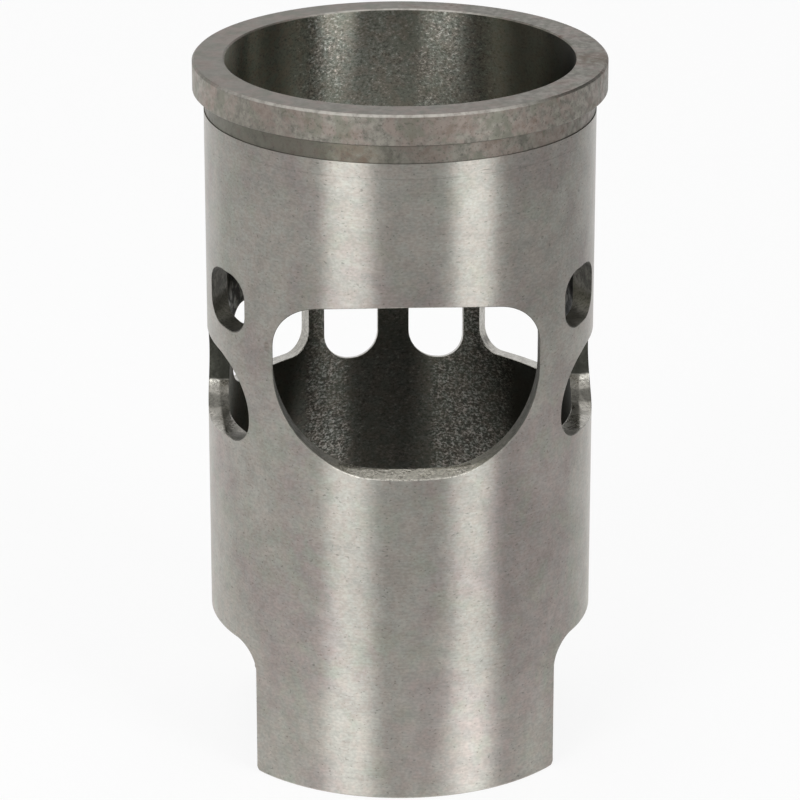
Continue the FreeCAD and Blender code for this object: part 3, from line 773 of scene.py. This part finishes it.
def ground_material(finish):
    """Ground outside: soft clouds, grinding lines round the body, specks, fine pits, painted
    reflections and shade.
    """
    n = PlacedNodes("ground_iron")
    height, turn, wear = n.height, n.turn, finish.wear
    clouds = n.noise(0.07, 4.0, 0.6, 0.6, upright=0.6)
    tint = n.noise(0.11, 5.0, 0.65, 0.4)
    warm = n.most(n.spot(-33.0, 34.0, 15.0, 22.0), n.spot(42.0, 46.0, 22.0, 40.0))
    warm = n.line(warm, 0.22, clouds)
    base = n.mixed(n.ramp(warm, 0.46, 0.68), rgba(finish.ground), rgba(finish.ground_warm))
    base = n.mixed(n.ramp(tint, 0.50, 0.66, 0.0, 0.85), base, rgba(finish.ground_cool))
    fine = n.noise(1.0, 3.0, 0.7, level=0.35, upright=2.6)
    base = n.mixed(n.ramp(fine, 0.35, 0.70, 0.0, 0.22), base, rgba(finish.ground, 0.55))
    grain = n.noise(1.5, 1.0, upright=1.5)
    base = n.mixed(n.ramp(grain, 0.34, 0.66, 0.0, 0.30), base, rgba(finish.ground, 0.55))
    specks = n.noise(1.7, 1.0, level=0.8, upright=1.4)
    specks = n.ramp(specks, 0.66, 0.75, 0.0, 0.50 * wear)
    base = n.mixed(specks, base, rgba(finish.ground, 0.30))
    # Painted reflections: the body is brighter low down, more so at the left, on the lower right,
    # low between the two lamp highlights and in a slanted strip low on the right. High on the right
    # it is a little darker, a painted shade.
    right = n.times(n.ramp(turn, 0.45, 0.75), n.ramp(height, 70.0, 100.0, 0.22, -0.07))
    left = n.times(n.ramp(turn, -0.30, -0.55), n.ramp(height, 60.0, 105.0, 0.20, 0.02))
    centre = n.times(n.near(turn, 0.08, 0.07, 0.22), n.ramp(height, 30.0, 80.0, 0.16, 0.0))
    painted_reflection_wedge = n.times(n.ramp(n.line(height, -0.23, n.x), 2.2, 3.0),
                    n.ramp(height, 26.0, 16.0, 0.0, 0.16))
    gain = n.plus(n.ramp(height, 8.0, 50.0, 1.50, 1.18), left, right, centre, painted_reflection_wedge)
    smudges = n.ramp(n.noise(0.19, 4.0, 0.65, 0.3), 0.34, 0.66, 1.05, 0.92)
    base = n.tinted(n.vectors("SCALE", base, n.times(gain, smudges)), 0.018)
    line = n.times(n.spot(4.0, 125.4, 75.0, 0.16), n.ramp(fine, 0.3, 0.6, 0.0, 0.22 * wear))
    scratch = n.times(n.spot(22.5, 126.2, 2.2, 0.14), 0.5 * wear)
    base = n.mixed(n.most(line, scratch), base, rgba(finish.ground, 0.30))
    smear = n.times(n.spot(-44.5, 89.5, 1.2, 1.3), n.ramp(fine, 0.35, 0.6, 0.0, 0.35 * wear))
    base = n.mixed(smear, base, rgba(finish.stain))
    lines = n.line(grain, 0.35, n.noise(1.0, 4.0, 0.75, level=0.08, upright=4.5))
    rough = n.plus(n.ramp(clouds, 0.35, 0.65, 0.33, 0.37), n.ramp(height, 5.0, 75.0, 0.05, 0.0))
    return n.metal(base, rough, lines, 0.10, 0.0002, drawn=True)


def turned_material(finish):
    """Turned flange, neck and top face: darker, rougher, mottled, stained; painted shade on the
    neck, painted highlights on the edges.
    """
    n = PlacedNodes("turned_iron")
    height, turn, wear = n.height, n.turn, finish.wear
    mottle = n.noise(0.7, 4.0, 0.65)
    blotch = n.noise(0.17, 5.0, 0.7, 0.5)
    cool = n.noise(0.21, 4.0, 0.65, 0.3)
    # The mottle is calmer on the top face and at the left.
    calm = n.times(n.ramp(height, 137.9, 138.1, 1.0, n.ramp(n.x, 0.0, 35.0, 0.35, 0.80)),
                   n.ramp(turn, -1.0, -0.3, 0.62, 1.0))
    shade = n.line(n.minus(mottle, 0.5), calm, 0.5)
    base = n.mixed(n.ramp(shade, 0.36, 0.64), rgba(finish.turned, 1.10),
                   rgba(finish.turned, 0.68))
    base = n.mixed(n.ramp(blotch, 0.44, 0.58, 0.0, 0.75), base, rgba(finish.turned_warm))
    base = n.mixed(n.ramp(cool, 0.50, 0.62, 0.0, 0.75), base, rgba(finish.turned_cool))
    # Brown stains on the right, a rusty spot on the top face and drips on the neck.
    stain = n.times(n.ramp(blotch, 0.53, 0.66), n.ramp(mottle, 0.40, 0.58),
                    n.ramp(turn, 0.1, 1.6, 0.2 * wear, 0.75 * wear))
    rust = n.times(n.spot(84.0, 137.0, 9.0, 3.0),
                   n.ramp(mottle, 0.35, 0.55, 0.1 * wear, 0.6 * wear))
    drips = n.times(n.spot(-15.0, 129.6, 14.0, 2.8),
                    n.ramp(blotch, 0.40, 0.60, 0.1 * wear, 0.55 * wear))
    base = n.mixed(n.most(stain, rust, drips), base, rgba(finish.stain))
    specks = n.times(n.ramp(n.noise(1.9, 2.0), 0.58, 0.68, 0.0, 0.45 * wear), calm)
    base = n.mixed(specks, base, rgba(finish.turned, 0.35))
    # A cool dark tone is mixed into the neck, most at the left. The neck is painted darker as shade
    # under the flange, most of all at the left and in its upper corner, with a painted highlight
    # where the left strip lamp is reflected.
    below = n.ramp(height, 132.4, 132.2)
    cool_neck_tone = n.times(below, n.ramp(turn, 0.3, -0.7, 0.1, 0.65),
                   n.ramp(mottle, 0.65, 0.45, 0.35, 1.0))
    base = n.mixed(cool_neck_tone, base, rgba(finish.turned_cool, 1.1))
    neck = n.line(n.near(turn, -0.27, 0.10, 0.17), 0.25, n.ramp(turn, -0.75, 0.35, 0.62, 0.84))
    neck = n.most(neck, n.minus(1.0, below))
    painted_groove_shade = n.line(n.band(height, 131.3, 132.1, 132.3, 132.5), -0.25, 1.0)
    # The top face is a little darker. The flange's left side is brighter, a painted light.
    face = n.ramp(height, 137.95, 138.15, 1.0, 0.86)
    painted_flank_light = n.times(n.ramp(turn, -0.45, -1.25, 0.0, 0.42), n.ramp(height, 137.8, 137.6))
    base = n.vectors("SCALE", base, n.times(neck, painted_groove_shade, face, n.plus(painted_flank_light, 1.0)))
    # Painted highlights on the two edges of the top face: the outer chamfer at the front and the
    # bore's chamfer at the front and back.
    outer = n.times(n.ramp(n.radius, 39.10, 39.25), n.ramp(height, 137.70, 137.85),
                    n.spot(-10.0, 138.0, 62.0, 40.0))
    inner = n.times(n.ramp(n.radius, 33.85, 33.75), n.ramp(height, 137.85, 137.95),
                    n.ramp(n.side, 24.0, 10.0))
    painted_edge_highlight = n.times(n.most(outer, inner), n.ramp(mottle, 0.75, 0.35, 0.35, 0.85))
    base = n.mixed(painted_edge_highlight, base, rgba(finish.edge))
    return n.metal(base, n.ramp(shade, 0.3, 0.7, 0.38, 0.52), shade, 0.04, 0.0003)


def bored_material(finish):
    """Rough bored wall: coarser bright grains as painted glints in two upright stripes, finer ones
    between.
    """
    n = PlacedNodes("bored_iron")
    across, height = n.x, n.height
    upper = n.ramp(height, 92.0, 100.0)
    lower = n.minus(1.0, upper)
    # Painted glints: two upright stripes where the strip lamps are reflected, the right one further
    # out low down, in which the grain is coarser and brighter.
    painted_right_glint = n.most(n.times(n.near(across, 9.0, 3.0, 7.0), upper),
                        n.times(n.near(across, 15.5, 6.0, 10.0), lower))
    painted_glint_bands = n.most(n.near(across, -13.5, 2.5, 6.5), painted_right_glint)
    grains = n.noise(1.6, 3.0, 0.72, 0.4, upright=1.5)
    clouds = n.noise(0.12, 3.0)
    grain_glint_contrast = n.most(n.ramp(n.side, 17.0, 22.0, 0.68, 0.38),
                      n.times(painted_glint_bands, n.ramp(height, 85.0, 95.0, 1.6, 0.95)))
    grain_and_glints = n.line(n.minus(grains, 0.5), grain_glint_contrast, 0.5)
    base = n.mixed(n.ramp(grain_and_glints, 0.38, 0.52), rgba(finish.bored, 0.45), rgba(finish.bored))
    # The brightest grains take the pale colour, as painted glints.
    base = n.mixed(n.ramp(grain_and_glints, 0.54, 0.68), base, rgba(finish.edge))
    base = n.mixed(n.ramp(clouds, 0.4, 0.65, 0.0, 0.4), base, rgba(finish.bored_cool))
    # Painted light and shade: paler above and on the left, most of all on the upper left; darker on
    # the right, on the upper right and low between the stripes; brighter in the right stripe low
    # down and on the lower side walls; darker in patches behind the auxiliary ports.
    behind = n.times(n.ramp(n.side, 29.5, 31.0), n.band(height, 82.0, 84.0, 97.0, 100.0))
    patches = n.noise(0.55, 3.0, 0.6, 0.6)
    painted_dimming = n.times(behind, n.ramp(patches, 0.42, 0.60, -0.75, -0.25))
    inside_wall = n.times(n.ramp(n.side, 26.0, 29.0), n.ramp(height, 82.0, 78.0))
    gain = n.times(
        n.ramp(height, 70.0, 110.0, 0.70, 1.55),
        n.ramp(across, -28.0, 28.0, 1.35, 0.50),
        n.line(n.times(n.ramp(across, 12.0, 22.0), upper), -0.24, 1.0),
        n.plus(n.times(n.ramp(across, -10.0, -26.0), upper), 1.0),
        n.line(n.times(n.near(across, -3.0, 5.0, 9.0), lower), -0.3, 1.0),
        n.line(n.times(painted_right_glint, lower), 0.45, 1.0),
        n.plus(painted_dimming, 1.0),
        n.line(inside_wall, 0.15, 1.0))
    base = n.tinted(n.vectors("SCALE", base, gain), 0.03)
    rough = n.line(n.minus(inside_wall, painted_dimming), 0.5, 0.28)
    return n.metal(base, rough, grain_and_glints, 0.13, 0.0003, drawn=True)


def milled_material(finish):
    """Port walls and the skirt's edges: smooth milled iron with faint waves and specks, painted
    shade and light.
    """
    n = PlacedNodes("milled_iron")
    depth, height, side, wear = n.y, n.height, n.side, finish.wear
    grains = n.noise(1.8, 4.0, 0.7)
    patches = n.noise(0.45, 3.0, 0.6, 0.6)
    base = n.mixed(n.ramp(grains, 0.42, 0.66), rgba(finish.milled), rgba(finish.milled, 0.5))
    base = n.mixed(n.ramp(patches, 0.48, 0.62, 0.0, 0.5), base, rgba(finish.milled, 0.7))
    # Painted light on the outer part of the exhaust port's floor, which is brighter.
    floor = n.times(n.ramp(depth, -20.0, -24.0), n.ramp(height, 73.0, 71.5),
                    n.ramp(height, 40.0, 50.0, 0.0, 0.65))
    base = n.vectors("SCALE", base, n.plus(floor, 1.0))
    # Painted dark reflection and painted shade, in a dark colour: in the side ports a painted
    # reflection above a hard line and painted shade in a band below it, painted shade in the
    # auxiliary ports and on the exhaust port's lower corners.
    at_side = n.times(n.ramp(side, 29.0, 31.0), n.ramp(depth, -4.0, -1.0))
    painted_jamb_reflection = n.times(at_side, n.band(height, 71.9, 72.4, 84.0, 85.0), 0.92 * wear)
    painted_dimming = n.times(at_side, n.band(height, 67.8, 68.2, 69.5, 70.2), 0.50 * wear)
    small = n.times(n.ramp(height, 88.0, 89.0), n.ramp(side, 25.5, 27.0),
                    n.ramp(height, 91.0, 95.0, 0.46 * wear, 0.74 * wear),
                    n.ramp(patches, 0.40, 0.62, 1.0, 0.50))
    painted_cheek_shade = n.times(n.ramp(depth, -14.0, -18.0), n.ramp(side, 11.0, 17.0),
                     n.ramp(height, 50.0, 60.0, 0.0, 0.62 * wear))
    painted_shade_mask = n.most(painted_jamb_reflection, painted_dimming, small, painted_cheek_shade)
    base = n.mixed(painted_shade_mask, base, rgba(finish.painted_port_shade))
    rough = n.line(painted_shade_mask, 0.35, n.ramp(patches, 0.4, 0.6, 0.22, 0.34))
    return n.metal(base, rough, n.line(grains, 0.25, patches), 0.25, 0.0004)


def put_in_scene(name, data):
    """Add an object that shows the data, and return it."""
    item = bpy.data.objects.new(name, data)
    bpy.context.scene.collection.objects.link(item)
    return item


class LINER_OT_build(bpy.types.Operator):
    """Build the liner's detailed shell with its finishes in place of the plain node"""

    bl_idname = "liner.build"
    bl_label = "Build liner"

    def execute(self, context):
        settings = context.scene.liner
        if not settings.ports:
            fill_ports(settings.ports)
        mesh = liner_shell(settings.sizes, settings.ports).mesh("liner")
        for material in (ground_material, turned_material, bored_material, milled_material):
            mesh.materials.append(material(settings.finish))
        liner = put_in_scene("liner", mesh)
        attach(liner, "root")
        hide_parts(NODE)
        return {"FINISHED"}


WHITE = (1.0, 1.0, 1.0, 1.0)

# Strip lamps: name, turn in degrees from the front and width in metres.
STRIPS = (("left_strip", -31.9, 0.405), ("right_strip", 40.5, 0.355))
STRIP_DISTANCE, STRIP_HEIGHT = 0.9, 1.0

FLOOR_RADII = (0.05, 0.2, 0.8, 4.0)
FLOOR_COLUMNS = 96
FLOOR_GLOW = 0.86  # share of plain white in the floor, for rays that see it

SCREEN_FROM, SCREEN_TO, SCREEN_COLUMNS = -130.0, 140.0, 91  # degrees from the front
SCREEN_RADIUS, SCREEN_HEIGHT = 1.5, 1.6

CAMERA_PLACE = (-0.03276, -0.77452, 0.35926)
CAMERA_LOOK = (0.03953, 0.93535, -0.35143)


def add_sheet(name, rows, closed, material):
    """Add a stage sheet from rows of points as quads; closed joins each row's ends."""
    count = rows.shape[1]
    index = np.arange(rows.shape[0] * count).reshape(-1, count)
    faces = []
    if closed:
        faces = [list(range(count))]
        index = np.concatenate([index, index[:, :1]], 1)
    quads = (index[:-1, :-1], index[1:, :-1], index[1:, 1:], index[:-1, 1:])
    mesh = bpy.data.meshes.new(name)
    mesh.from_pydata(
        rows.reshape(-1, 3).tolist(), [], np.stack(quads, 2).reshape(-1, 4).tolist() + faces)
    mesh.materials.append(material)
    return put_in_scene(name, mesh)


class LINER_OT_studio(bpy.types.Operator):
    """Set up the floor, screens, lamps, white surroundings and camera"""

    bl_idname = "liner.studio"
    bl_label = "Build studio"

    def execute(self, context):
        scene, studio = context.scene, context.scene.liner.studio
        self.make_floor(studio)
        self.make_screen(studio)
        scene.world = self.make_world(studio)
        self.make_strips(studio)
        scene.camera = self.make_camera(studio)
        scene.view_settings.view_transform = "Standard"
        return {"FINISHED"}

    def make_floor(self, studio):
        """A level disc under the object, as rings of a polar grid with a closed middle."""
        turn = np.linspace(0.0, 2 * np.pi, FLOOR_COLUMNS, endpoint=False)
        ring = np.stack([np.cos(turn), np.sin(turn), 0 * turn], 1)
        n = Nodes(bpy.data.materials.new("floor_paper"))
        paper = n.put("BsdfDiffuse", {"Color": rgba(studio.floor)}).outputs[0]
        white = n.put("Emission", {"Color": WHITE, "Strength": 1.0}).outputs[0]
        both = n.put("MixShader", {0: n.times(n.seen(), FLOOR_GLOW), 1: paper, 2: white})
        rows = np.array(FLOOR_RADII)[:, None, None] * ring
        floor = add_sheet("floor", rows, True, n.finish(both))

    def make_screen(self, studio):
        """A curved screen behind the camera: grey, pale on the left and black on the right."""
        turn = np.radians(np.linspace(SCREEN_FROM, SCREEN_TO, SCREEN_COLUMNS))
        rows = np.stack([rolled(turn, up, SCREEN_RADIUS) for up in (0.0, SCREEN_HEIGHT)])
        n = PlacedNodes("screen_cloth")
        tone = n.mixed(n.ramp(n.x, -850.0, -650.0), rgba(studio.pale), rgba(studio.grey))
        tone = n.mixed(n.ramp(n.x, 900.0, 1000.0), tone, rgba(studio.black))
        cloth = n.finish(n.put("BsdfDiffuse", {"Color": tone}))
        screen = add_sheet("screen", rows, False, cloth)
        screen.visible_camera = False

    def make_world(self, studio):
        """Even fill light, and plain white wherever the camera or a reflection looks."""
        n = Nodes(bpy.data.worlds.new("studio_world"))
        fill, white = (
            n.put("Background", {"Color": WHITE, "Strength": strength}).outputs[0]
            for strength in (studio.fill, 1.0))
        return n.finish(n.put("MixShader", {0: n.seen(), 1: fill, 2: white}))

    def make_strips(self, studio):
        """Tall soft boxes that stand on the floor round the object, facing its axis."""
        for name, degrees, width in STRIPS:
            turn = math.radians(degrees)
            data = bpy.data.lights.new(name, "AREA")
            data.shape, data.size, data.size_y = "RECTANGLE", width, STRIP_HEIGHT
            data.energy, data.color = studio.strips, studio.lamp
            lamp = put_in_scene(name, data)
            lamp.location = rolled(turn, STRIP_HEIGHT / 2, STRIP_DISTANCE)
            lamp.rotation_euler = (math.radians(90), 0.0, turn)
            lamp.visible_camera = False

    def make_camera(self, studio):
        """The photograph's view: in front, slightly to the left and looking down."""
        data = bpy.data.cameras.new("camera")
        data.lens, data.sensor_width = studio.lens, 36.0
        data.clip_start, data.clip_end = 0.01, 20.0
        camera = put_in_scene("camera", data)
        camera.location = CAMERA_PLACE
        camera.rotation_euler = Vector(CAMERA_LOOK).to_track_quat("-Z", "Y").to_euler()
        return camera


class LINER_PT_panel(bpy.types.Panel):
    """Sizes, finishes and the studio of the liner"""

    bl_label = "Cylinder liner"
    bl_idname = "LINER_PT_panel"
    bl_space_type = "VIEW_3D"
    bl_region_type = "UI"
    bl_category = "Liner"

    def draw(self, context):
        settings = context.scene.liner
        groups = [("Sizes", settings.sizes), ("Finish", settings.finish),
                  ("Studio", settings.studio)]
        groups += [("Port %d" % number, port) for number, port in enumerate(settings.ports, 1)]
        for heading, group in groups:
            box = self.layout.box()
            box.label(text=heading)
            for name in group.bl_rna.properties.keys():
                if name not in ("rna_type", "name"):
                    box.prop(group, name)
        self.layout.operator(LINER_OT_build.bl_idname)
        self.layout.operator(LINER_OT_studio.bl_idname)


CLASSES = (
    LinerSizes, PortSizes, LinerFinish, StudioSettings, LinerSettings,
    LINER_OT_build, LINER_OT_studio, LINER_PT_panel,
)


def register():
    for item in CLASSES:
        bpy.utils.register_class(item)
    bpy.types.Scene.liner = PointerProperty(type=LinerSettings)


def unregister():
    del bpy.types.Scene.liner
    for item in reversed(CLASSES):
        bpy.utils.unregister_class(item)


def main():
    register()
    bpy.ops.liner.build()
    bpy.ops.liner.studio()


if __name__ == "__main__":
    main()
